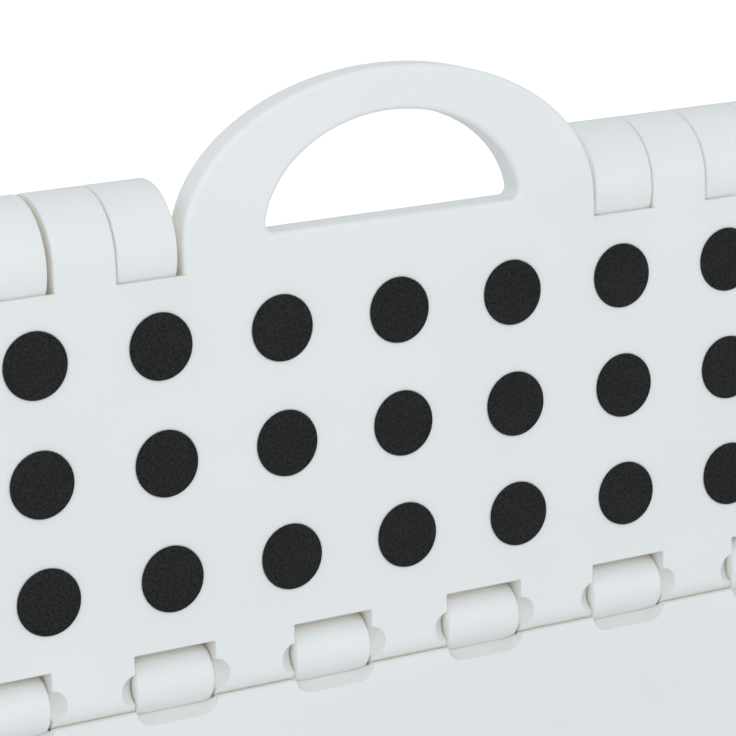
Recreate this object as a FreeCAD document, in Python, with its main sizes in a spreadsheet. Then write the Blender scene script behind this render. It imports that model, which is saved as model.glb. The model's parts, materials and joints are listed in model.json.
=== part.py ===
"""Folding step stool of moulded plastic, modelled folded flat and standing on its feet.

Millimetres. X runs along the seat, Y is the depth with the front at negative Y, Z is up.
The two halves of the stool mirror each other in the plane y = 0, which holds the centre hinge axis.
Depths are given as distances from that plane, so one function makes the front and the rear piece.
"""
import FreeCAD
import Part
import os
import re

doc = FreeCAD.newDocument("folding_stool")

# Driving sizes, each a cell of the sheet with its own alias
SIZES = {
    "panel_length": 314.0,       # seat and leg panels, end to end
    "open_height": 220.0,        # floor to seat top when open
    "axis_spacing": 114.4,       # centre hinge axis to leg hinge axis, along a seat half
    "centre_radius": 16.6,       # barrels of the centre hinge, also the thickness of one folded half
    "fold_gap": 0.4,             # each half stays this far from the middle plane when folded
    "hinge_gap": 0.25,           # radial room round a centre barrel
    "bed_gap": 0.25,             # radial room under the tabs, in the leg panel
    "side_gap": 0.3,             # room beside a rear barrel, along the centre hinge
    "side_play": 1.2,            # more room beside the left rear barrels, towards the handle
    "slot_shift": 0.75,          # the rear barrels' slots are this much wider and the front ones' narrower
    "leg_side_gap": 0.5,         # room beside a leg barrel, along the leg hinge
    "end_extra": 4.1,            # the end slot of the centre hinge is this much wider than the pitch
    "end_tab_extra": 4.6,        # the end tab of a seat half is this much wider than half a pitch
    "panel_round": 2.5,          # rounded ends of the panels
    "barrel_round": 0.8,         # rounded barrel ends
    "seat_skin": 3.0,
    "seat_wall": 3.0,
    "seat_rib": 2.0,
    "centre_lip": 6.5,           # a seat half ends this far below the centre axis, beside the other's barrels
    "notch_gap": 1.9,            # room above the leg barrels, in the seat's notches
    "dimple_radius": 4.2,        # round hollow in a tab's face, beside each leg barrel
    "dimple_rise": 0.8,          # its middle above the leg axis, halfway between tab and barrel
    "dimple_out": 0.4,           # and in front of the face
    "handle_half_width": 62.3,
    "handle_rise": 41.0,         # handle top above the centre axis
    "handle_thickness": 9.0,
    "handle_round": 1.3,
    "handle_room": 1.5,          # room round the handle in the rear half's cut-out
    "grip_half_width": 38.6,     # finger hole
    "grip_rise": 29.2,           # finger hole's top above the centre axis
    "grip_floor": 1.3,           # finger hole's floor above the centre axis
    "grip_corner": 2.6,
    "dot_radius": 8.83,
    "dot_pitch": 35.0,
    "dot_row_pitch": 30.8,
    "dot_first_row": 23.95,      # first row below the centre axis
    "dot_raise": 0.7,
    "dot_sink": 1.4,
    "dot_round": 0.35,
    "dot_gap": 0.05,
    "dot_end_margin": 4.0,       # least plate beyond the last dot
    "leg_wall": 2.5,
    "leg_rib": 2.0,
    "leg_lip": 5.3,              # the leg panel ends this far below the leg axis
    "stack_gap": 0.6,            # between a folded end panel and the leg panel
    "scoop_radius": 9.0,         # hollow in the leg panel under each barrel
    "scoop_out": 1.0,            # its axis in front of the panel's face
    "scoop_drop": 0.5,           # and below the leg axis
    "scoop_end": 4.5,            # its rounded ends
    "arch_half_width": 105.0,    # opening between the feet
    "arch_rise": 78.0,
    "arch_corner": 60.0,
    "foot_solid": 12.0,          # foot without pockets, above the pad
    "pad_height": 3.0,
    "pad_inset": 2.5,
    "pad_round": 2.2,
    "peg_radius": 2.0,
    "peg_height": 6.0,
    "peg_pitch": 16.0,
    "gusset_thickness": 7.0,
    "gusset_skin": 2.5,
    "gusset_rib": 2.0,
    "gusset_edge": 9.0,          # solid strip beside each hinge of an end panel
    "gusset_lift": 6.0,          # end panels clear the floor
    "gusset_foot": 38.0,
    "gusset_arch_rise": 82.0,
    "gusset_arch_corner": 45.0,
    "gusset_top_gap": 0.6,       # end panel below the open seat
    "gusset_barrel_room": 1.4,   # and beside its centre barrels
    "gusset_barrel": 5.0,        # barrels on the leg panels
    "fold_barrel": 4.5,          # barrels in the middle of an end panel
    "end_margin": 0.4,           # open end panels stay this far inside the panel ends
    "knuckle_gap": 0.5,          # room between the end panels' barrels, along the hinge
    "centre_pin": 2.5,
    "leg_pin": 2.0,
    "gusset_pin": 1.6,
    "pin_gap": 0.06,
    "pin_end": 2.0,              # pins end this far inside the outer barrels
}

# Counts of repeated features
CENTRE_SLOTS = 5
LEG_SLOTS = 6.5                  # from the middle of the centre tab to the end
LEG_BARRELS_PER_SIDE = 3
DOT_ROWS = 3
SEAT_CELLS = (9, 3)
LEG_CELLS = (8, 5)
GUSSET_CELLS = (3, 5)
LEG_GUSSET_SLOTS = 7
FOLD_SLOTS = 5

# Places that follow from the sizes
PLACES = {
    "half_length": "panel_length / 2",
    "leg_radius": "(centre_radius - fold_gap) / 2",
    "leg_depth": "centre_radius - leg_radius",
    "leg_z": "open_height - leg_radius",
    "centre_z": "leg_z + axis_spacing",
    "notch_z": "leg_z + leg_radius + notch_gap",
    "centre_pitch": f"(half_length - end_extra - handle_half_width) / {CENTRE_SLOTS}",
    "leg_pitch": f"(half_length - end_tab_extra) / {LEG_SLOTS}",
    "leg_inner": "fold_gap + gusset_thickness + stack_gap",
    "gusset_inner": "fold_gap + gusset_thickness",
    "gusset_x": "half_length - leg_depth - fold_barrel - end_margin",
    "fold_x": "gusset_x - axis_spacing",
    "gusset_top": "leg_z - leg_radius - gusset_top_gap",
    "fold_top": "leg_z - leg_depth - centre_radius - gusset_top_gap",
    "barrel_notch": "gusset_barrel + stack_gap",
    "fold_notch": "fold_barrel + stack_gap",
    "gusset_pitch": f"(gusset_top - gusset_lift) / {LEG_GUSSET_SLOTS}",
    "fold_pitch": f"(fold_top - gusset_arch_rise) / {FOLD_SLOTS}",
}

# The front is at negative Y and the left at negative X
SIDES = {"front": -1, "rear": 1}
ENDS = {"left": -1, "right": 1}

# How far a cutting solid reaches past what it cuts
OVER = 1.0


def fill_sheet():
    """Write the driving sizes into the sheet, one alias for each."""
    sheet = doc.addObject("Spreadsheet::Sheet", "sizes")
    for row, (alias, value) in enumerate(SIZES.items(), start=1):
        sheet.set(f"A{row}", alias)
        sheet.set(f"B{row}", str(value))
        sheet.setAlias(f"B{row}", alias)
    doc.recompute()
    return sheet


def expression(text):
    """The text with each size and place written as a reference to the sheet."""
    def reference(match):
        word = match.group(0)
        if word in PLACES:
            return f"({expression(PLACES[word])})"
        return f"sizes.{word}"
    return re.sub(r"[a-z_]+", reference, str(text))


def bind(item, prop, text):
    """Drive one property of an object from the sheet."""
    item.setExpression(prop, expression(text))


def spread(sign, low, high):
    """A pair of expressions, mirrored to the negative side where the sign is negative."""
    if sign > 0:
        return (str(low), str(high))
    return (f"-({high})", f"-({low})")


def box(name, x, y, z):
    """A box between a pair of expressions along each axis."""
    solid = doc.addObject("Part::Box", name)
    for prop, axis, (low, high) in (("Length", "x", x), ("Width", "y", y), ("Height", "z", z)):
        bind(solid, prop, f"({high}) - ({low})")
        bind(solid, f"Placement.Base.{axis}", low)
    return solid


def cylinder(name, axis, radius, along, first, second):
    """A cylinder along X, Y or Z between two expressions, at two expressions on the other axes in turn."""
    turns = {
        "x": FreeCAD.Rotation(FreeCAD.Vector(0, 1, 0), 90),
        "y": FreeCAD.Rotation(FreeCAD.Vector(1, 0, 0), -90),
        "z": FreeCAD.Rotation(),
    }
    others = [letter for letter in "xyz" if letter != axis]
    solid = doc.addObject("Part::Cylinder", name)
    solid.Placement = FreeCAD.Placement(FreeCAD.Vector(), turns[axis])
    bind(solid, "Radius", radius)
    bind(solid, "Height", f"({along[1]}) - ({along[0]})")
    bind(solid, f"Placement.Base.{axis}", along[0])
    bind(solid, f"Placement.Base.{others[0]}", first)
    bind(solid, f"Placement.Base.{others[1]}", second)
    return solid


def sphere(name, radius, x, y, z):
    """A ball about a point given by three expressions."""
    ball = doc.addObject("Part::Sphere", name)
    bind(ball, "Radius", radius)
    for axis, text in (("x", x), ("y", y), ("z", z)):
        bind(ball, f"Placement.Base.{axis}", text)
    return ball


def ellipse_prism(name, half_width, rise, y):
    """An elliptical bar along Y, centred on the centre hinge axis."""
    curve = doc.addObject("Part::Ellipse", f"{name}_curve")
    curve.Placement = FreeCAD.Placement(
        FreeCAD.Vector(), FreeCAD.Rotation(FreeCAD.Vector(1, 0, 0), 90))
    bind(curve, "MajorRadius", half_width)
    bind(curve, "MinorRadius", rise)
    bind(curve, "Placement.Base.y", y[0])
    bind(curve, "Placement.Base.z", "centre_z")
    bar = doc.addObject("Part::Extrusion", name)
    bar.Base = curve
    bar.DirMode = "Custom"
    bar.Dir = FreeCAD.Vector(0, 1, 0)
    bar.Solid = True
    bind(bar, "LengthFwd", f"({y[1]}) - ({y[0]})")
    return bar


def fuse(name, pieces):
    """One solid from several."""
    joined = doc.addObject("Part::MultiFuse", name)
    joined.Shapes = pieces
    joined.Refine = True
    return joined


def cut(name, base, tools):
    """The base less the tools."""
    tool = tools[0]
    if len(tools) > 1:
        tool = doc.addObject("Part::MultiFuse", f"{name}_tools")
        tool.Shapes = tools
    rest = doc.addObject("Part::Cut", name)
    rest.Base = base
    rest.Tool = tool
    rest.Refine = True
    return rest


def common(name, first, second):
    """What two solids share."""
    shared = doc.addObject("Part::Common", name)
    shared.Base = first
    shared.Tool = second
    return shared


def rounded(name, base, radius, wanted):
    """A fillet on each edge of the base that the test picks."""
    doc.recompute()
    edges = enumerate(base.Shape.Edges, start=1)
    eased = doc.addObject("Part::Fillet", name)
    eased.Base = base
    eased.Edges = [(number, radius, radius) for number, edge in edges if wanted(edge, base.Shape.BoundBox)]
    return eased


def is_round(edge, bounds):
    """Whether an edge is a full circle, such as the rim of a barrel."""
    return isinstance(edge.Curve, Part.Circle)


def runs_along(edge, axis):
    """Whether an edge is straight and follows the axis 0, 1 or 2."""
    bounds = edge.BoundBox
    lengths = [bounds.XLength, bounds.YLength, bounds.ZLength]
    along = lengths.pop(axis)
    return along > max(lengths) and max(lengths) < 1e-3


def outer_upright(side):
    """A test for the upright edges on the outer face of a panel."""
    def wanted(edge, bounds):
        outer = bounds.YMin if side < 0 else bounds.YMax
        return runs_along(edge, 2) and abs(edge.CenterOfMass.y - outer) < 1e-6
    return wanted


def notch_upright(side, at_handle):
    """A test for the upright edges at the notches of the centre hinge, beside the handle or elsewhere."""
    def wanted(edge, bounds):
        beside_handle = abs(abs(edge.CenterOfMass.x) - SIZES["handle_half_width"]) < 1e-6
        return outer_upright(side)(edge, bounds) and beside_handle == at_handle
    return wanted


def barrel(name, along, y, z, radius, end_round):
    """A hinge barrel along X with rounded ends."""
    plain = cylinder(f"{name}_plain", "x", radius, along, y, z)
    return rounded(name, plain, end_round, is_round)


def cell_grid(name, counts, rib, x, y, z):
    """Pockets in rows and columns with ribs between them."""
    columns, rows = counts
    width = f"((({x[1]}) - ({x[0]}) + {rib}) / {columns})"
    height = f"((({z[1]}) - ({z[0]}) + {rib}) / {rows})"
    cells = []
    for column in range(columns):
        for row in range(rows):
            across = (f"({x[0]}) + {column} * {width}", f"({x[0]}) + {column + 1} * {width} - {rib}")
            up = (f"({z[0]}) + {row} * {height}", f"({z[0]}) + {row + 1} * {height} - {rib}")
            cells.append(box(f"{name}_{column}_{row}", across, y, up))
    return fuse(name, cells)


def slot_edge(number):
    """Inner end of one barrel slot of the centre hinge, counted outwards from the handle."""
    shift = " + slot_shift" if number % 2 else ""
    return f"handle_half_width + {number} * centre_pitch{shift}"


def slot(number):
    """Both ends of one barrel slot."""
    high = "half_length" if number == CENTRE_SLOTS - 1 else slot_edge(number + 1)
    return (slot_edge(number), high)


def inner_room(end):
    """Room beside a rear barrel on the side towards the handle."""
    return "side_gap + side_play" if end == ENDS["left"] else "side_gap"


def centre_barrel_span(side, end, number):
    """Ends of a centre barrel: the front ones fill their slots and the rear ones have room beside them."""
    low, high = slot(number)
    if side == SIDES["front"]:
        return (low, high)
    if number == CENTRE_SLOTS - 1:
        return (f"{low} + {inner_room(end)}", high)
    return (f"{low} + {inner_room(end)}", f"{high} - side_gap")


def centre_notch_span(side, end, number):
    """Ends of the notch that a seat half has for a barrel of the other half."""
    low, high = slot(number)
    if side == SIDES["rear"]:
        return (f"{low} - side_gap", f"{high} + {inner_room(end)}")
    if number == CENTRE_SLOTS - 1:
        return (low, f"{high} + {OVER}")
    return (low, high)


def own_slots(side):
    """Slots of the centre hinge that hold barrels of this half."""
    first = 1 if side == SIDES["front"] else 0
    return range(first, CENTRE_SLOTS, 2)


def other_slots(side):
    """Slots of the centre hinge that hold barrels of the other half."""
    return own_slots(-side)


def tab_spans():
    """Ends of each tab of a seat half: one in the middle, then outwards to both ends of the panel."""
    spans = [("-0.5 * leg_pitch", "0.5 * leg_pitch")]
    for end in ENDS.values():
        for number in range(1, LEG_BARRELS_PER_SIDE):
            spans.append(spread(end, f"{2 * number - 0.5} * leg_pitch", f"{2 * number + 0.5} * leg_pitch"))
        spans.append(spread(end, f"{2 * LEG_BARRELS_PER_SIDE - 0.5} * leg_pitch", "half_length"))
    return spans


def seat_tabs(name, side):
    """Tabs of a seat half that hold the leg pin, each with a round hollow where it meets a leg barrel."""
    depth = spread(side, "fold_gap", "centre_radius")
    pieces = []
    for number, span in enumerate(tab_spans()):
        tab = f"{name}_tab_{number}"
        block = box(f"{tab}_block", span, depth, ("leg_z", f"notch_z + {OVER}"))
        core = cylinder(f"{tab}_core", "x", "leg_radius", span, f"{side} * leg_depth", "leg_z")
        dimples = [
            sphere(f"{tab}_dimple_{word}", "dimple_radius", f"{edge} + ({ENDS[word]}) * leg_side_gap / 2",
                   f"{side} * (centre_radius + dimple_out)", "leg_z + dimple_rise")
            for word, edge in zip(ENDS, span) if "half_length" not in edge]
        pieces.append(cut(tab, fuse(f"{tab}_plain", [block, core]), dimples))
    return pieces


def handle(name, side):
    """Arched handle: half an ellipse on straight sides, with a finger hole and rounded rims."""
    depth = spread(side, "centre_radius - handle_thickness", "centre_radius")
    across = ("-handle_half_width", "handle_half_width")
    arch = common(
        f"{name}_arch",
        ellipse_prism(f"{name}_oval", "handle_half_width", "handle_rise", depth),
        box(f"{name}_upper", across, depth, ("centre_z", f"centre_z + handle_rise + {OVER}")))
    root = box(f"{name}_root", across, depth, ("centre_z - centre_lip", "centre_z"))
    past = spread(side, f"centre_radius - handle_thickness - {OVER}", f"centre_radius + {OVER}")
    hole = common(
        f"{name}_hole",
        ellipse_prism(f"{name}_hole_oval", "grip_half_width", "grip_rise", past),
        box(f"{name}_hole_upper", across, past, ("centre_z + grip_floor", "centre_z + handle_rise")))
    hole = rounded(f"{name}_hole_round", hole, SIZES["grip_corner"], lambda edge, bounds: runs_along(edge, 1))
    ring = cut(f"{name}_ring", fuse(f"{name}_blank", [arch, root]), [hole])

    def is_rim(edge, bounds):
        """Rims of the arch, of its straight sides and of the finger hole."""
        if edge.CenterOfMass.z < bounds.ZMin + 1e-3 or runs_along(edge, 1):
            return False
        return edge.BoundBox.YLength < 1e-3

    return rounded(name, ring, SIZES["handle_round"], is_rim)


def clears_cutout(column, row):
    """Whether a dot of the rear half lies outside the cut-out, grown here by the dot's radius."""
    grow = SIZES["handle_room"] + SIZES["dot_radius"]
    across = column * SIZES["dot_pitch"] / (SIZES["handle_half_width"] + grow)
    down = (SIZES["dot_first_row"] + row * SIZES["dot_row_pitch"]) / (SIZES["handle_rise"] + grow)
    return across ** 2 + down ** 2 > 1


def dot_places(side):
    """Expressions for the centres of the grip dots of a seat half, row by row."""
    reach = SIZES["panel_length"] / 2 - SIZES["dot_radius"] - SIZES["dot_end_margin"]
    columns = int(reach // SIZES["dot_pitch"])
    rows = []
    for row in range(DOT_ROWS):
        rows.append([
            (f"{column} * dot_pitch", f"centre_z - dot_first_row - {row} * dot_row_pitch")
            for column in range(-columns, columns + 1)
            if side == SIDES["front"] or clears_cutout(column, row)])
    return rows


def seat_half(name, side):
    """One half of the seat: a ribbed plate, hinge barrels on both long edges and recesses for the dots."""
    depth = spread(side, "fold_gap", "centre_radius")
    past = spread(side, f"fold_gap - {OVER}", f"centre_radius + {OVER}")
    pocket = spread(side, f"fold_gap - {OVER}", "centre_radius - seat_skin")
    plate = rounded(
        f"{name}_plate",
        box(f"{name}_block", ("-half_length", "half_length"), depth, ("notch_z", "centre_z")),
        SIZES["panel_round"], outer_upright(side))
    cells = cell_grid(
        f"{name}_cells", SEAT_CELLS, "seat_rib",
        ("-half_length + seat_wall", "half_length - seat_wall"), pocket,
        ("notch_z + seat_wall", "centre_z - centre_radius - hinge_gap - seat_wall"))
    cuts = []
    for word, end in ENDS.items():
        for number in other_slots(side):
            along = spread(end, *centre_notch_span(side, end, number))
            tag = f"{name}_notch_{number}_{word}"
            cuts.append(box(tag, along, past, ("centre_z - centre_lip", f"centre_z + {OVER}")))
            cuts.append(cylinder(f"{tag}_bed", "x", "centre_radius + hinge_gap", along, "0", "centre_z"))
    added = seat_tabs(name, side)
    if side == SIDES["front"]:
        cuts.append(cells)
        root_pocket = spread(side, f"fold_gap - {OVER}", "centre_radius - handle_thickness")
        cuts.append(box(
            f"{name}_root_pocket",
            ("-handle_half_width + seat_wall", "handle_half_width - seat_wall"), root_pocket,
            ("centre_z - centre_radius - hinge_gap - seat_wall + seat_rib", "centre_z - seat_wall")))
        cuts.append(box(
            f"{name}_root_gap", ("-handle_half_width", "handle_half_width"), root_pocket,
            ("centre_z - hinge_gap", f"centre_z + {OVER}")))
        added.append(handle(f"{name}_handle", side))
    else:
        rim = ellipse_prism(
            f"{name}_rim", "handle_half_width + handle_room + seat_wall",
            "handle_rise + handle_room + seat_wall", past)
        cuts.append(cut(f"{name}_cells_by_rim", cells, [rim]))
        cuts.append(ellipse_prism(
            f"{name}_cutout", "handle_half_width + handle_room", "handle_rise + handle_room", past))
    for word, end in ENDS.items():
        for number in own_slots(side):
            along = spread(end, *centre_barrel_span(side, end, number))
            added.append(barrel(
                f"{name}_barrel_{number}_{word}", along, "0", "centre_z",
                "centre_radius", SIZES["barrel_round"]))
    shell = rounded(
        f"{name}_eased", cut(f"{name}_shell", plate, cuts), SIZES["barrel_round"], notch_upright(side, False))
    if side == SIDES["front"]:
        shell = rounded(f"{name}_eased_at_handle", shell, SIZES["handle_round"], notch_upright(side, True))
    body = fuse(f"{name}_body", [shell] + added)
    holes = [cylinder(
        f"{name}_leg_bore", "x", "leg_pin + pin_gap",
        (f"-half_length - {OVER}", f"half_length + {OVER}"), f"{side} * leg_depth", "leg_z")]
    for word, end in ENDS.items():
        along = spread(end, "handle_half_width + side_gap / 2", f"half_length + {OVER}")
        holes.append(cylinder(
            f"{name}_centre_bore_{word}", "x", "centre_pin + pin_gap", along, "0", "centre_z"))
    recess = spread(side, "centre_radius - dot_sink", f"centre_radius + {OVER}")
    for row, places in enumerate(dot_places(side)):
        for column, (x, z) in enumerate(places):
            holes.append(cylinder(
                f"{name}_recess_{row}_{column}", "y", "dot_radius + dot_gap", recess, x, z))
    return cut(name, body, holes)


def grip_dots(name, side, places):
    """One row of grip dots: separate discs with rounded rims, sunk into their recesses."""
    span = spread(side, "centre_radius - dot_sink", "centre_radius + dot_raise")
    discs = []
    for number, (x, z) in enumerate(places):
        disc = cylinder(f"{name}_disc_{number}", "y", "dot_radius", span, x, z)

        def outer_rim(edge, bounds):
            outer = bounds.YMin if side < 0 else bounds.YMax
            return is_round(edge, bounds) and abs(edge.CenterOfMass.y - outer) < 1e-6

        discs.append(rounded(f"{name}_dot_{number}", disc, SIZES["dot_round"], outer_rim))
    row = doc.addObject("Part::Compound", name)
    row.Links = discs
    return row


def arch_cut(name, x, y, rise, corner, wall):
    """An arch with a flat top and round upper corners, between two expressions along X."""
    low, high = x
    floor = f"-{OVER}"
    top = f"({rise}) + {wall}"
    radius = f"({corner}) + {wall}"
    left = f"({low}) - {wall}"
    right = f"({high}) + {wall}"
    return fuse(name, [
        box(f"{name}_wide", (left, right), y, (floor, f"({top}) - ({radius})")),
        box(f"{name}_tall", (f"({left}) + ({radius})", f"({right}) - ({radius})"), y, (floor, top)),
        cylinder(f"{name}_left", "y", radius, y, f"({left}) + ({radius})", f"({top}) - ({radius})"),
        cylinder(f"{name}_right", "y", radius, y, f"({right}) - ({radius})", f"({top}) - ({radius})"),
    ])


def gusset_slot(number):
    """Heights of one barrel slot of the hinge between a leg panel and an end panel."""
    return (f"gusset_lift + {number} * gusset_pitch + knuckle_gap / 2",
            f"gusset_lift + {number + 1} * gusset_pitch - knuckle_gap / 2")


def fold_slot(number):
    """Heights of one barrel slot of the hinge in the middle of an end panel."""
    return (f"gusset_arch_rise + {number} * fold_pitch + knuckle_gap / 2",
            f"gusset_arch_rise + {number + 1} * fold_pitch - knuckle_gap / 2")


def leg_barrels(name, side):
    """Barrels of a leg panel that sit in the seat's notches, with a round-ended hollow below each."""
    pieces = []
    scoops = []
    for word, end in ENDS.items():
        for number in range(LEG_BARRELS_PER_SIDE):
            tag = f"{name}_{word}_{number}"
            low = f"{2 * number + 0.5} * leg_pitch"
            high = f"{2 * number + 1.5} * leg_pitch"
            inner = spread(end, f"{low} + leg_side_gap", f"{high} - leg_side_gap")
            pieces.append(barrel(
                f"{tag}_barrel", inner, f"{side} * leg_depth", "leg_z", "leg_radius", SIZES["barrel_round"]))
            scoops.append(barrel(
                f"{tag}_hollow", spread(end, low, high), f"{side} * (centre_radius + scoop_out)",
                "leg_z - scoop_drop", "scoop_radius", SIZES["scoop_end"]))
    return pieces, scoops


def leg_panel(name, side):
    """One leg panel: a ribbed plate on two feet, with barrels for the seat and for both end panels."""
    depth = spread(side, "leg_inner", "centre_radius")
    past = spread(side, f"leg_inner - {OVER}", f"centre_radius + {OVER}")
    pocket = spread(side, f"leg_inner - {OVER}", "centre_radius - leg_wall")
    across = ("-half_length", "half_length")
    slab = rounded(
        f"{name}_slab", box(f"{name}_block", across, depth, ("pad_height", "leg_z - leg_lip")),
        SIZES["panel_round"], outer_upright(side))
    feet = ("-arch_half_width", "arch_half_width")
    arch = arch_cut(f"{name}_arch", feet, past, "arch_rise", "arch_corner", "0")
    rim = arch_cut(f"{name}_rim", feet, past, "arch_rise", "arch_corner", "leg_wall")
    cell_edge = "gusset_x - barrel_notch - leg_rib"
    cells = cell_grid(
        f"{name}_cells", LEG_CELLS, "leg_rib", (f"-({cell_edge})", cell_edge), pocket,
        ("pad_height + foot_solid", "leg_z - leg_radius - bed_gap - leg_wall"))
    barrels, scoops = leg_barrels(name, side)
    cuts = [arch, cut(f"{name}_cells_by_rim", cells, [rim])] + scoops
    for number, (low, high) in enumerate(tab_spans()):
        cuts.append(cylinder(
            f"{name}_bed_{number}", "x", "leg_radius + bed_gap",
            (f"{low} - leg_side_gap", f"{high} + leg_side_gap"), f"{side} * leg_depth", "leg_z"))
    added = list(barrels)
    holes = [cylinder(
        f"{name}_leg_bore", "x", "leg_pin + pin_gap",
        (f"-half_length - {OVER}", f"half_length + {OVER}"), f"{side} * leg_depth", "leg_z")]
    channel = spread(side, f"leg_inner - {OVER}", "leg_depth + gusset_barrel + stack_gap")
    for word, end in ENDS.items():
        cuts.append(box(
            f"{name}_channel_{word}",
            spread(end, "gusset_x - barrel_notch", "gusset_x + leg_depth"), channel,
            ("gusset_lift - knuckle_gap", "leg_z")))
        for number in range(0, LEG_GUSSET_SLOTS, 2):
            tag = f"{name}_side_{word}_{number}"
            up = gusset_slot(number)
            added.append(cylinder(
                tag, "z", "gusset_barrel", up, f"{end} * gusset_x", f"{side} * leg_depth"))
            added.append(box(
                f"{tag}_neck", spread(end, "gusset_x - gusset_barrel", "gusset_x + gusset_barrel"),
                spread(side, "leg_depth", f"leg_depth + gusset_barrel + stack_gap + {OVER}"), up))
        holes.append(cylinder(
            f"{name}_side_bore_{word}", "z", "gusset_pin + pin_gap",
            ("gusset_lift + pin_end", f"leg_z + {OVER}"), f"{end} * gusset_x", f"{side} * leg_depth"))
        for x, y in peg_places(side, end):
            holes.append(cylinder(
                f"{name}_peg_hole_{word}_{len(holes)}", "z", "peg_radius + pin_gap",
                (f"pad_height - {OVER}", "pad_height + peg_height + stack_gap"), x, y))
    body = fuse(f"{name}_body", [cut(f"{name}_shell", slab, cuts)] + added)
    return cut(name, body, holes)


def peg_places(side, end):
    """Expressions for the two pegs that hold a foot pad."""
    y = f"{side} * (leg_inner + centre_radius) / 2"
    first = "arch_half_width + pad_inset + 2 * peg_radius"
    return [(f"{end} * ({first} + {number} * peg_pitch)", y) for number in range(2)]


def foot_pad(name, side, end):
    """Rubber pad under one foot, with two pegs that press up into it."""
    base = box(
        f"{name}_base", spread(end, "arch_half_width + pad_inset", "half_length - pad_inset"),
        spread(side, "leg_inner + stack_gap", "centre_radius - panel_round / 2"), ("0", "pad_height"))
    pad = rounded(f"{name}_round", base, SIZES["pad_round"], lambda edge, bounds: runs_along(edge, 2))
    pieces = [pad]
    for number, (x, y) in enumerate(peg_places(side, end)):
        up = ("pad_height / 2", "pad_height + peg_height")
        pieces.append(cylinder(f"{name}_peg_{number}", "z", "peg_radius", up, x, y))
    return fuse(name, pieces)


def gusset_half(name, side, end):
    """Half of a folding end panel: a ribbed plate, barrels on both upright edges and half an arch below."""
    depth = spread(side, "fold_gap", "gusset_inner")
    past = spread(side, f"fold_gap - {OVER}", f"gusset_inner + {OVER}")
    pocket = spread(side, "fold_gap + gusset_skin", f"gusset_inner + {OVER}")
    plate = box(f"{name}_plate", spread(end, "fold_x", "gusset_x"), depth, ("gusset_lift", "gusset_top"))
    open_span = spread(end, "fold_x - 2 * gusset_arch_corner", "gusset_x - gusset_foot")
    arch = arch_cut(f"{name}_arch", open_span, past, "gusset_arch_rise", "gusset_arch_corner", "0")
    rim = arch_cut(f"{name}_rim", open_span, past, "gusset_arch_rise", "gusset_arch_corner", "gusset_rib")
    cells = cell_grid(
        f"{name}_cells", GUSSET_CELLS, "gusset_rib",
        spread(end, "fold_x + gusset_edge", "gusset_x - gusset_edge"), pocket,
        ("gusset_lift + gusset_rib", "fold_top - gusset_rib"))
    cuts = [arch, cut(f"{name}_cells_by_rim", cells, [rim])]
    cuts.append(box(
        f"{name}_top_notch",
        spread(end, f"fold_x - {OVER}", "fold_x + centre_radius + gusset_barrel_room"), past,
        ("fold_top", f"gusset_top + {OVER}")))
    for number in range(0, LEG_GUSSET_SLOTS, 2):
        cuts.append(box(
            f"{name}_leg_notch_{number}", spread(end, "gusset_x - barrel_notch", f"gusset_x + {OVER}"), past,
            (f"gusset_lift + {number} * gusset_pitch - knuckle_gap / 2",
             f"gusset_lift + {number + 1} * gusset_pitch + knuckle_gap / 2")))
    added = []
    first_own = 0 if side == SIDES["front"] else 1
    for number in range(FOLD_SLOTS):
        low, high = fold_slot(number)
        if number % 2 == first_own:
            added.append(cylinder(
                f"{name}_fold_{number}", "z", "fold_barrel", (low, high), f"{end} * fold_x", "0"))
        else:
            cuts.append(box(
                f"{name}_fold_notch_{number}", spread(end, f"fold_x - {OVER}", "fold_x + fold_notch"), past,
                (f"{low} - knuckle_gap", f"{high} + knuckle_gap")))
    for number in range(1, LEG_GUSSET_SLOTS, 2):
        added.append(cylinder(
            f"{name}_barrel_{number}", "z", "gusset_barrel", gusset_slot(number),
            f"{end} * gusset_x", f"{side} * leg_depth"))
    body = fuse(f"{name}_body", [cut(f"{name}_shell", plate, cuts)] + added)
    holes = [
        cylinder(f"{name}_leg_bore", "z", "gusset_pin + pin_gap", ("0", "leg_z"),
                 f"{end} * gusset_x", f"{side} * leg_depth"),
        cylinder(f"{name}_fold_bore", "z", "gusset_pin + pin_gap", ("0", "leg_z"), f"{end} * fold_x", "0"),
    ]
    return cut(name, body, holes)


def hinge_pins():
    """Steel pins of all the hinges, each a plain rod."""
    pins = []
    for word, end in ENDS.items():
        along = spread(end, "handle_half_width + side_gap + pin_end", "half_length - pin_end")
        pins.append(cylinder(f"centre_pin_{word}", "x", "centre_pin", along, "0", "centre_z"))
        up = ("gusset_arch_rise + pin_end", "fold_top - pin_end")
        pins.append(cylinder(f"gusset_fold_pin_{word}", "z", "gusset_pin", up, f"{end} * fold_x", "0"))
    for facing, side in SIDES.items():
        along = ("-half_length + pin_end", "half_length - pin_end")
        pins.append(cylinder(f"leg_pin_{facing}", "x", "leg_pin", along, f"{side} * leg_depth", "leg_z"))
        for word, end in ENDS.items():
            up = ("gusset_lift + pin_end", "gusset_top - pin_end")
            pins.append(cylinder(
                f"gusset_pin_{facing}_{word}", "z", "gusset_pin", up,
                f"{end} * gusset_x", f"{side} * leg_depth"))
    return pins


def build():
    """All the sub-parts of the stool."""
    parts = []
    for facing, side in SIDES.items():
        parts.append(seat_half(f"seat_{facing}", side))
        for row, places in enumerate(dot_places(side), start=1):
            parts.append(grip_dots(f"grip_dots_{facing}_row_{row}", side, places))
        parts.append(leg_panel(f"leg_{facing}", side))
        for word, end in ENDS.items():
            parts.append(foot_pad(f"foot_pad_{facing}_{word}", side, end))
            parts.append(gusset_half(f"gusset_{facing}_{word}", side, end))
    return parts + hinge_pins()


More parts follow.
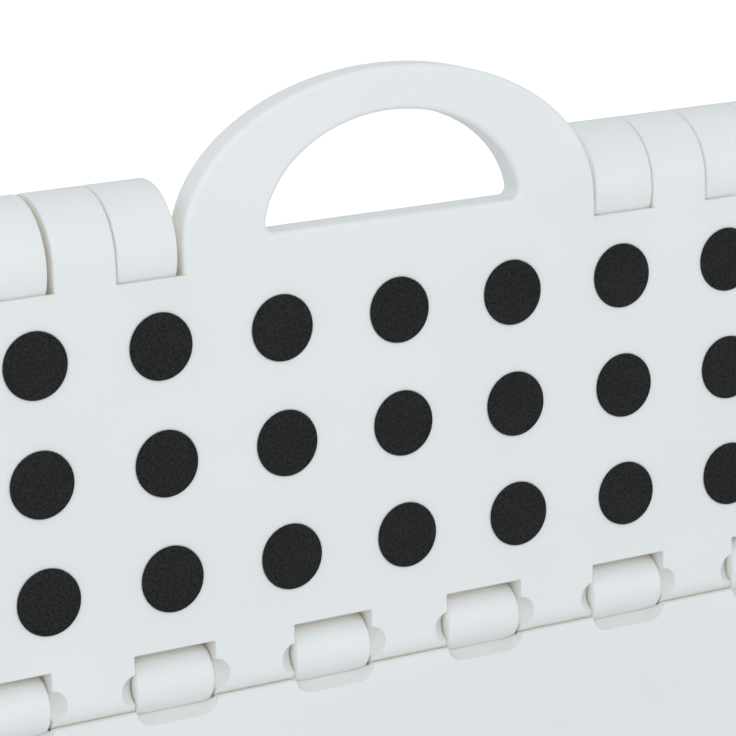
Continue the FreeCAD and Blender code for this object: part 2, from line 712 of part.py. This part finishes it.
def check(parts):
    """Stop if any object failed or a sub-part has no valid shape."""
    for item in doc.Objects:
        if "Invalid" in item.State or "Error" in item.State:
            raise RuntimeError(f"{item.Label} failed: {item.State}")
    for part in parts:
        if part.Shape.isNull() or not part.Shape.isValid():
            raise RuntimeError(f"{part.Label} has no valid shape")


fill_sheet()
sub_parts = build()
doc.recompute()
check(sub_parts)
os.makedirs("parts", exist_ok=True)
for sub_part in sub_parts:
    sub_part.Label = sub_part.Name
    sub_part.Shape.exportStep(f"parts/{sub_part.Label}.step")
    print(sub_part.Label, len(sub_part.Shape.Solids), "solids", round(sub_part.Shape.Volume), "mm3")
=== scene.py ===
"""Folding step stool: finishes, grip dots and foot pads, with the studio and the photograph's view.

Metres. X runs along the seat, Y is the depth with the front at negative Y, Z is up.
"""
import json
import math

import bpy
import numpy as np
from mathutils import Matrix, Vector


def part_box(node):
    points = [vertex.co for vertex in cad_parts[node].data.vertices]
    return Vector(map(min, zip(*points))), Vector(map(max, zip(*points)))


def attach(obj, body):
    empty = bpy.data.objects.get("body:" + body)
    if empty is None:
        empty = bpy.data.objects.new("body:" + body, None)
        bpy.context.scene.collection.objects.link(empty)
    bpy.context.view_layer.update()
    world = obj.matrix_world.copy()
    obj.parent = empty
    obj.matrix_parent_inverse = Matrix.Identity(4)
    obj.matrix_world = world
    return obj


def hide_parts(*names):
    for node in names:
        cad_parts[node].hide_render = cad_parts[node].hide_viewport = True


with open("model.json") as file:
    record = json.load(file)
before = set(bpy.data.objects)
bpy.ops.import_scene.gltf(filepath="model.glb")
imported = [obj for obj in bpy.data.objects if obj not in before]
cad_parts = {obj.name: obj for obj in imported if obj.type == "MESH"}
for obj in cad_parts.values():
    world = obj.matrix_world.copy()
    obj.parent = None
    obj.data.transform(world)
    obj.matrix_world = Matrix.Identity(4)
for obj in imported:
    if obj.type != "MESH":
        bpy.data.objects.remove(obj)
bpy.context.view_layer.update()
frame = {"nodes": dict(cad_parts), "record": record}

# Halves of the stool, with the direction along Y that each faces when folded, and the ends of each half
SEAT_FACING = {"front": -1, "rear": 1}
ENDS = ("left", "right")

# Grip dots
DOT_ROWS = (1, 2, 3)
DOT_PITCH = 0.035
DOT_CROWN = 0.00010              # fall of a dot's face from its middle to its rim
DOT_RIM = 0.00035                # radius of the rounded rim
DOT_SIDES = 72
DOT_FACE_RINGS = 10
DOT_RIM_STEPS = 7
REAR_FIRST_ROW_GAP = 0.060       # no dots nearer to the middle than this beside the handle's cut-out

# Foot pads
PAD_TOP = 0.003                  # height of the pad, without its pegs
PAD_CORNER = 0.0022              # rounded corners, seen from below
PAD_EDGE = 0.0006                # rounded lower edge
PAD_EDGE_STEPS = 5
PAD_UNDER_STEPS = 7              # steps across the underside
PAD_COLUMNS = 283                # sections along a pad
PAD_GROOVES = 9
PAD_GROOVE_DEPTH = 0.0009
PAD_LAND = 0.3                   # height of the groove's wave at which a groove starts
PAD_SLOPE = 0.35                 # rise of the wave from a groove's edge to its floor
PEG_RADIUS = 0.002
PEG_RIM = 0.0004
PEG_RIM_STEPS = 5
PEG_DEPTH = 0.0123               # pegs from the middle plane, along Y
PEG_PLACES = (0.1115, 0.1275)    # pegs from the middle of the stool, along X
PEG_SIDES = 40

# Edges that turn by more than this are shown sharp
SHARP_TURN = math.radians(40)

# Colours of the finishes: the two ends of each finish's variation, and a painted warm glow deep in the
# white gaps, a tone that stands in for light passing through the plastic
WHITE_FACE = ((0.770, 0.785, 0.786), (0.792, 0.803, 0.806))
WHITE_GAP_PAINTED_GLOW = (1.0, 0.955, 0.85)
GRIP_BLACK = ((0.001, 0.0012, 0.0013), (0.024, 0.0248, 0.0248))
RUBBER_GREY = ((0.018, 0.018, 0.018), (0.035, 0.034, 0.033))
STEEL_GREY = ((0.50, 0.49, 0.47), (0.62, 0.61, 0.60))

# Values between which most of a noise texture lies
NOISE_LOW = 0.3
NOISE_HIGH = 0.7

# Colour sockets of a mix node, by number because their names repeat
MIX_FIRST = 6
MIX_SECOND = 7
MIX_RESULT = 2

# Studio: half the floor's width, and the lamps by place, size, power and colour
FLOOR_HALF = 8.0
LAMP_AIM = (0, 0, 0.28)
LAMPS = {
    "front_light": ((-0.55, -1.35, 1.0), (1.3, 0.9), 6.0, (0.97, 0.99, 1.0)),
    "right_light": ((1.7, -1.9, 0.6), (1.2, 1.2), 5.0, (1.0, 1.0, 1.0)),
    "left_light": ((-2.0, -0.5, 0.6), (1.2, 1.2), 3.0, (0.98, 1.0, 1.0)),
}

# View of the photograph
VIEW_PLACE = (-0.4453, -0.8036, 0.4973)
VIEW_AZIMUTH = -28.941
VIEW_ELEVATION = 13.099
VIEW_ROLL = -2.106
VIEW_LENS = 171.47
VIEW_SENSOR = 36.0


def mesh_piece(name, points, faces, material, body):
    """A smooth-shaded object from arrays of points and faces that rides on a body."""
    mesh = bpy.data.meshes.new(name)
    mesh.from_pydata(points.tolist(), [], faces)
    mesh.materials.append(material)
    mesh.shade_smooth()
    mesh.set_sharp_from_angle(angle=SHARP_TURN)
    mesh.update()
    piece = bpy.data.objects.new(name, mesh)
    bpy.context.scene.collection.objects.link(piece)
    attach(piece, body)
    return piece


def quarter_circle(steps):
    """Angles along a quarter circle, from zero in equal steps."""
    return np.linspace(0, math.pi / 2, steps + 1)


def full_circle(sides):
    """Angles round a full circle, one for each side."""
    return np.linspace(0, 2 * math.pi, sides, endpoint=False)


def turned_faces(rings, sides, first):
    """Faces of one turned form: quads between neighbouring rings, and fans at the two poles.
    The form's points start at the number first, ring after ring, and the poles come last."""
    ring, side = np.meshgrid(np.arange(rings - 1), np.arange(sides), indexing="ij")
    here = first + ring * sides + side
    beside = first + ring * sides + (side + 1) % sides
    quads = np.stack([here, here + sides, beside + sides, beside], -1).reshape(-1, 4)
    edge = np.arange(sides)
    after = (edge + 1) % sides
    top = first + rings * sides
    last = first + (rings - 1) * sides
    top_fan = np.stack([np.full(sides, top), first + edge, first + after], -1)
    low_fan = np.stack([np.full(sides, top + 1), last + after, last + edge], -1)
    return quads.tolist() + top_fan.tolist() + low_fan.tolist()


def dot_profile(radius, low, high):
    """Radius and height along a grip dot's section: a crowned face that falls as the square of the radius,
    a quarter circle round the rim, and a straight wall down into the recess."""
    across = np.linspace(1 / DOT_FACE_RINGS, 1, DOT_FACE_RINGS) * (radius - DOT_RIM)
    crown = high - DOT_CROWN * (across / across[-1]) ** 2
    turn = quarter_circle(DOT_RIM_STEPS)[1:]
    rim_across = across[-1] + DOT_RIM * np.sin(turn)
    rim_height = crown[-1] - DOT_RIM * (1 - np.cos(turn))
    return (np.concatenate([across, rim_across, [radius]]),
            np.concatenate([crown, rim_height, [low]]))


def grip_dot_row(facing, row, material):
    """One row of grip dots. Each dot turns its section about a line along Y, and all dots are one array."""
    side = SEAT_FACING[facing]
    node = f"grip_dots_{facing}_row_{row}"
    low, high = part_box(node)
    radius = (high.z - low.z) / 2
    middle_z = (high.z + low.z) / 2
    columns = round((high.x - low.x - 2 * radius) / DOT_PITCH) + 1
    middles = low.x + radius + DOT_PITCH * np.arange(columns)
    if (facing, row) == ("rear", 1):
        middles = middles[np.abs(middles) > REAR_FIRST_ROW_GAP]
    foot, face = sorted((abs(low.y), abs(high.y)))
    across, height = dot_profile(radius, foot, face)
    angle = full_circle(DOT_SIDES) * side
    x = middles[:, None, None] + across[None, :, None] * np.sin(angle)
    z = middle_z + across[None, :, None] * np.cos(angle) + 0 * x
    y = side * height[None, :, None] + 0 * x
    rings = np.stack([x, y, z], -1).reshape(len(middles), -1, 3)
    poles = np.array([[[m, side * face, middle_z], [m, side * foot, middle_z]] for m in middles])
    points = np.concatenate([rings, poles], 1)
    faces = []
    for number in range(len(middles)):
        faces += turned_faces(len(across), DOT_SIDES, number * points.shape[1])
    piece = mesh_piece(f"grip_dots_{facing}_{row}", points.reshape(-1, 3), faces, material,
                       f"seat_{facing}")
    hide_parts(node)


def pad_section(half, base):
    """A pad's section as arrays of depth and height: a quarter circle at each lower edge, straight sides
    and top, and an even row of points along the underside."""
    turn = quarter_circle(PAD_EDGE_STEPS)
    row = np.linspace(-1, 1, PAD_UNDER_STEPS + 1)[1:-1]
    edge_across = half - PAD_EDGE + PAD_EDGE * np.sin(turn)
    edge_up = base + PAD_EDGE * (1 - np.cos(turn))
    top = np.full_like(half, PAD_TOP)
    across = np.concatenate([edge_across, half, -half, -edge_across[:, ::-1], row * (half - PAD_EDGE)], 1)
    up = np.concatenate([edge_up, top, top, edge_up[:, ::-1], base + 0 * row], 1)
    return across, up


def pad_form(low, high):
    """Points and faces of a pad between two corners of a box. Its section is carried along X and closes in
    along a quarter circle at both ends, and its underside rises by a clipped cosine into grooves."""
    x = np.linspace(low.x, high.x, PAD_COLUMNS)[:, None]
    to_corner = PAD_CORNER - np.minimum(np.minimum(x - low.x, high.x - x), PAD_CORNER)
    half = (high.y - low.y) / 2 - PAD_CORNER + np.sqrt(PAD_CORNER ** 2 - to_corner ** 2)
    wave = -np.cos(2 * math.pi * PAD_GROOVES * (x - low.x) / (high.x - low.x))
    base = low.z + PAD_GROOVE_DEPTH * np.clip((wave - PAD_LAND) / PAD_SLOPE, 0, 1)
    across, up = pad_section(half, base)
    points = np.stack([x + 0 * across, (high.y + low.y) / 2 + across, up], -1)
    count = points.shape[1]
    column, spot = np.meshgrid(np.arange(PAD_COLUMNS - 1), np.arange(count), indexing="ij")
    here = column * count + spot
    after = column * count + (spot + 1) % count
    faces = np.stack([here, after, after + count, here + count], -1).reshape(-1, 4).tolist()
    faces.append(list(range(count))[::-1])
    faces.append(list(range((PAD_COLUMNS - 1) * count, PAD_COLUMNS * count)))
    return points.reshape(-1, 3), faces


def peg_form(middle_x, middle_y, top, first):
    """Points and faces of a peg, turned about an upright line from its rounded upper rim down into the pad.
    Its points start at the number first."""
    turn = quarter_circle(PEG_RIM_STEPS)
    across = np.append(PEG_RADIUS - PEG_RIM * (1 - np.sin(turn)), PEG_RADIUS)[:, None]
    up = np.append(top - PEG_RIM * (1 - np.cos(turn)), PAD_TOP / 2)[:, None]
    angle = full_circle(PEG_SIDES)
    x = middle_x + across * np.cos(angle)
    y = middle_y + across * np.sin(angle)
    rings = np.stack([x, y, up + 0 * angle], -1)
    poles = [[middle_x, middle_y, up[0, 0]], [middle_x, middle_y, up[-1, 0]]]
    return np.concatenate([rings.reshape(-1, 3), poles]), turned_faces(len(up), PEG_SIDES, first)


def foot_pad(facing, word, material):
    """One foot pad with its two pegs."""
    node = f"foot_pad_{facing}_{word}"
    low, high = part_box(node)
    points, faces = pad_form(low, high)
    for place in PEG_PLACES:
        middle_x = math.copysign(place, low.x)
        middle_y = math.copysign(PEG_DEPTH, low.y)
        peg_points, peg_faces = peg_form(middle_x, middle_y, high.z, len(points))
        points = np.concatenate([points, peg_points])
        faces += peg_faces
    piece = mesh_piece(f"pad_{facing}_{word}", points, faces, material, f"leg_{facing}")
    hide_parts(node)


def grain_group():
    """Shared moulded grain: fine noise for the surface, and slow noise for patches of handling and flow."""
    group = bpy.data.node_groups.new("moulded_grain", "ShaderNodeTree")
    group.interface.new_socket("Place", in_out="INPUT", socket_type="NodeSocketVector")
    group.interface.new_socket("Grains per metre", in_out="INPUT", socket_type="NodeSocketFloat")
    group.interface.new_socket("Patches per metre", in_out="INPUT", socket_type="NodeSocketFloat")
    group.interface.new_socket("Grain", in_out="OUTPUT", socket_type="NodeSocketFloat")
    group.interface.new_socket("Patches", in_out="OUTPUT", socket_type="NodeSocketFloat")
    nodes, links = group.nodes, group.links
    given = nodes.new("NodeGroupInput")
    result = nodes.new("NodeGroupOutput")
    fine = nodes.new("ShaderNodeTexNoise")
    fine.inputs["Detail"].default_value = 3.0
    fine.inputs["Roughness"].default_value = 0.6
    slow = nodes.new("ShaderNodeTexNoise")
    slow.inputs["Detail"].default_value = 2.0
    slow.inputs["Distortion"].default_value = 0.6
    pairs = ((fine, "Grains per metre", "Grain"), (slow, "Patches per metre", "Patches"))
    for noise, size, output in pairs:
        links.new(given.outputs["Place"], noise.inputs["Vector"])
        links.new(given.outputs[size], noise.inputs["Scale"])
        links.new(noise.outputs["Fac"], result.inputs[output])
    return group


def finish(name):
    """A new material, its node tree and its shader."""
    material = bpy.data.materials.new(name)
    material.use_nodes = True
    tree = material.node_tree
    return material, tree, tree.nodes["Principled BSDF"]


def grain_in(tree, group, grains, patches):
    """Place the shared grain in a material, on the piece's own coordinates."""
    place = tree.nodes.new("ShaderNodeTexCoord")
    grain = tree.nodes.new("ShaderNodeGroup")
    grain.node_tree = group
    grain.inputs["Grains per metre"].default_value = grains
    grain.inputs["Patches per metre"].default_value = patches
    tree.links.new(place.outputs["Object"], grain.inputs["Place"])
    return grain


def between(tree, source, low=0.0, high=1.0):
    """A value that runs from low to high as a noise runs over its usual range."""
    spread = tree.nodes.new("ShaderNodeMapRange")
    spread.inputs["From Min"].default_value = NOISE_LOW
    spread.inputs["From Max"].default_value = NOISE_HIGH
    spread.inputs["To Min"].default_value = low
    spread.inputs["To Max"].default_value = high
    tree.links.new(source, spread.inputs["Value"])
    return spread.outputs["Result"]


def tint(tree, mask, first, second):
    """A colour between two, by a mask. Either may be a fixed colour or another node's output."""
    mix = tree.nodes.new("ShaderNodeMix")
    mix.data_type = "RGBA"
    tree.links.new(mask, mix.inputs["Factor"])
    for socket, colour in ((mix.inputs[MIX_FIRST], first), (mix.inputs[MIX_SECOND], second)):
        if isinstance(colour, tuple):
            socket.default_value = (*colour, 1.0)
        else:
            tree.links.new(colour, socket)
    return mix.outputs[MIX_RESULT]


def relief(tree, shader, height, depth, edge_round=None):
    """Bump from a height, over edges that are rounded by the given radius."""
    bump = tree.nodes.new("ShaderNodeBump")
    bump.inputs["Strength"].default_value = 1.0
    bump.inputs["Distance"].default_value = depth
    tree.links.new(height, bump.inputs["Height"])
    if edge_round:
        edge = tree.nodes.new("ShaderNodeBevel")
        edge.samples = 6
        edge.inputs["Radius"].default_value = edge_round
        tree.links.new(edge.outputs["Normal"], bump.inputs["Normal"])
    tree.links.new(bump.outputs["Normal"], shader.inputs["Normal"])


def white_plastic(group):
    """White moulded plastic: fine matt grain, faint handling patches, a painted warm glow deep in the gaps,
    and more subsurface scattering there.
    """
    material, tree, shader = finish("white_plastic")
    grain = grain_in(tree, group, grains=2200.0, patches=22.0)
    open_face = tint(tree, between(tree, grain.outputs["Patches"]), *WHITE_FACE)
    gap = tree.nodes.new("ShaderNodeAmbientOcclusion")
    gap.samples = 8
    gap.inputs["Distance"].default_value = 0.009
    openness = tree.nodes.new("ShaderNodeMapRange")
    openness.inputs["From Min"].default_value = 0.05
    openness.inputs["From Max"].default_value = 0.55
    tree.links.new(gap.outputs["AO"], openness.inputs["Value"])
    # Painted light: where ambient occlusion finds the surface hemmed in, the colour turns to a pale warm
    # tone that stands in for light glowing through the plastic
    colour = tint(tree, openness.outputs["Result"], WHITE_GAP_PAINTED_GLOW, open_face)
    tree.links.new(colour, shader.inputs["Base Color"])
    roughness = between(tree, grain.outputs["Patches"], low=0.38, high=0.48)
    tree.links.new(roughness, shader.inputs["Roughness"])
    shader.inputs["IOR"].default_value = 1.49
    glow = tree.nodes.new("ShaderNodeMapRange")
    glow.inputs["To Min"].default_value = 0.9
    glow.inputs["To Max"].default_value = 0.1
    tree.links.new(openness.outputs["Result"], glow.inputs["Value"])
    tree.links.new(glow.outputs["Result"], shader.inputs["Subsurface Weight"])
    shader.inputs["Subsurface Radius"].default_value = (1.0, 0.9, 0.75)
    shader.inputs["Subsurface Scale"].default_value = 0.010
    relief(tree, shader, grain.outputs["Grain"], depth=0.000012, edge_round=0.0006)
    return material


def black_grip(group):
    """Matt black soft plastic with a fine speckled grain."""
    material, tree, shader = finish("black_grip")
    grain = grain_in(tree, group, grains=1500.0, patches=60.0)
    colour = tint(tree, between(tree, grain.outputs["Grain"]), *GRIP_BLACK)
    tree.links.new(colour, shader.inputs["Base Color"])
    roughness = between(tree, grain.outputs["Patches"], low=0.62, high=0.76)
    tree.links.new(roughness, shader.inputs["Roughness"])
    shader.inputs["Specular IOR Level"].default_value = 0.16
    relief(tree, shader, grain.outputs["Grain"], depth=0.00006)
    return material


def foot_rubber(group):
    """Dark matt rubber with a dusty bloom in patches."""
    material, tree, shader = finish("foot_rubber")
    grain = grain_in(tree, group, grains=1800.0, patches=90.0)
    colour = tint(tree, between(tree, grain.outputs["Patches"]), *RUBBER_GREY)
    tree.links.new(colour, shader.inputs["Base Color"])
    roughness = between(tree, grain.outputs["Grain"], low=0.7, high=0.85)
    tree.links.new(roughness, shader.inputs["Roughness"])
    relief(tree, shader, grain.outputs["Grain"], depth=0.00005, edge_round=0.0004)
    return material


def pin_steel(group):
    """Drawn steel rod with fine wear."""
    material, tree, shader = finish("pin_steel")
    grain = grain_in(tree, group, grains=2600.0, patches=140.0)
    colour = tint(tree, between(tree, grain.outputs["Patches"]), *STEEL_GREY)
    tree.links.new(colour, shader.inputs["Base Color"])
    roughness = between(tree, grain.outputs["Grain"], low=0.22, high=0.42)
    tree.links.new(roughness, shader.inputs["Roughness"])
    shader.inputs["Metallic"].default_value = 1.0
    relief(tree, shader, grain.outputs["Grain"], depth=0.000008, edge_round=0.0003)
    return material


def dress_solids(finishes):
    """Give each solid of the stool the finish of its material slot."""
    for entry in frame["record"]["subparts"]:
        mesh = frame["nodes"][entry["node"]].data
        mesh.materials.clear()
        mesh.materials.append(finishes[entry["material_slot"]])


def studio_floor():
    """Plain pale floor. Its glow shows only to the camera, so it stays white without lighting the stool."""
    half = FLOOR_HALF
    corners = [(-half, -half, 0), (half, -half, 0), (half, half, 0), (-half, half, 0)]
    mesh = bpy.data.meshes.new("floor")
    mesh.from_pydata(corners, [], [(0, 1, 2, 3)])
    material, tree, shader = finish("floor_white")
    shader.inputs["Base Color"].default_value = (0.80, 0.81, 0.815, 1)
    shader.inputs["Roughness"].default_value = 0.7
    shader.inputs["Emission Color"].default_value = (0.5, 0.5, 0.5, 1)
    seen = tree.nodes.new("ShaderNodeLightPath")
    tree.links.new(seen.outputs["Is Camera Ray"], shader.inputs["Emission Strength"])
    mesh.materials.append(material)
    floor = bpy.data.objects.new("floor", mesh)
    bpy.context.scene.collection.objects.link(floor)


def soft_box(name, place, size, power, colour):
    """A broad rectangular lamp at a place, turned to the seat."""
    lamp = bpy.data.lights.new(name, "AREA")
    lamp.shape = "RECTANGLE"
    lamp.size, lamp.size_y = size
    lamp.energy = power
    lamp.color = colour
    holder = bpy.data.objects.new(name, lamp)
    turn = (Vector(LAMP_AIM) - Vector(place)).to_track_quat("-Z", "Y")
    holder.matrix_world = Matrix.Translation(place) @ turn.to_matrix().to_4x4()
    bpy.context.scene.collection.objects.link(holder)


def studio_light():
    """Even pale surroundings, a broad front light and weaker ones from the right and the left."""
    world = bpy.data.worlds.new("studio")
    world.use_nodes = True
    sky = world.node_tree.nodes["Background"]
    sky.inputs["Color"].default_value = (0.945, 0.98, 1.0, 1)
    sky.inputs["Strength"].default_value = 0.77
    bpy.context.scene.world = world
    for name, (place, size, power, colour) in LAMPS.items():
        soft_box(name, place, size, power, colour)


def photo_camera():
    """Camera at the photograph's place and turn."""
    azimuth = math.radians(VIEW_AZIMUTH)
    elevation = math.radians(VIEW_ELEVATION)
    roll = math.radians(VIEW_ROLL)
    back = Vector((math.sin(azimuth) * math.cos(elevation), -math.cos(azimuth) * math.cos(elevation),
                   math.sin(elevation)))
    right = (-back).cross(Vector((0, 0, 1))).normalized()
    up = right.cross(-back)
    across = math.cos(roll) * right + math.sin(roll) * up
    upward = -math.sin(roll) * right + math.cos(roll) * up
    lens = bpy.data.cameras.new("photo_view")
    lens.sensor_width = VIEW_SENSOR
    lens.lens = VIEW_LENS
    lens.clip_start = 0.05
    lens.clip_end = 60.0
    camera = bpy.data.objects.new("photo_view", lens)
    turn = Matrix((across, upward, back)).transposed()
    camera.matrix_world = Matrix.Translation(VIEW_PLACE) @ turn.to_4x4()
    bpy.context.scene.collection.objects.link(camera)
    bpy.context.scene.camera = camera


grain_nodes = grain_group()
finishes = {
    "white_plastic": white_plastic(grain_nodes),
    "black_grip": black_grip(grain_nodes),
    "foot_rubber": foot_rubber(grain_nodes),
    "pin_steel": pin_steel(grain_nodes),
}
dress_solids(finishes)
for facing in SEAT_FACING:
    for row in DOT_ROWS:
        grip_dot_row(facing, row, finishes["black_grip"])
    for word in ENDS:
        foot_pad(facing, word, finishes["foot_rubber"])
studio_floor()
studio_light()
photo_camera()
bpy.context.scene.view_settings.view_transform = "Standard"
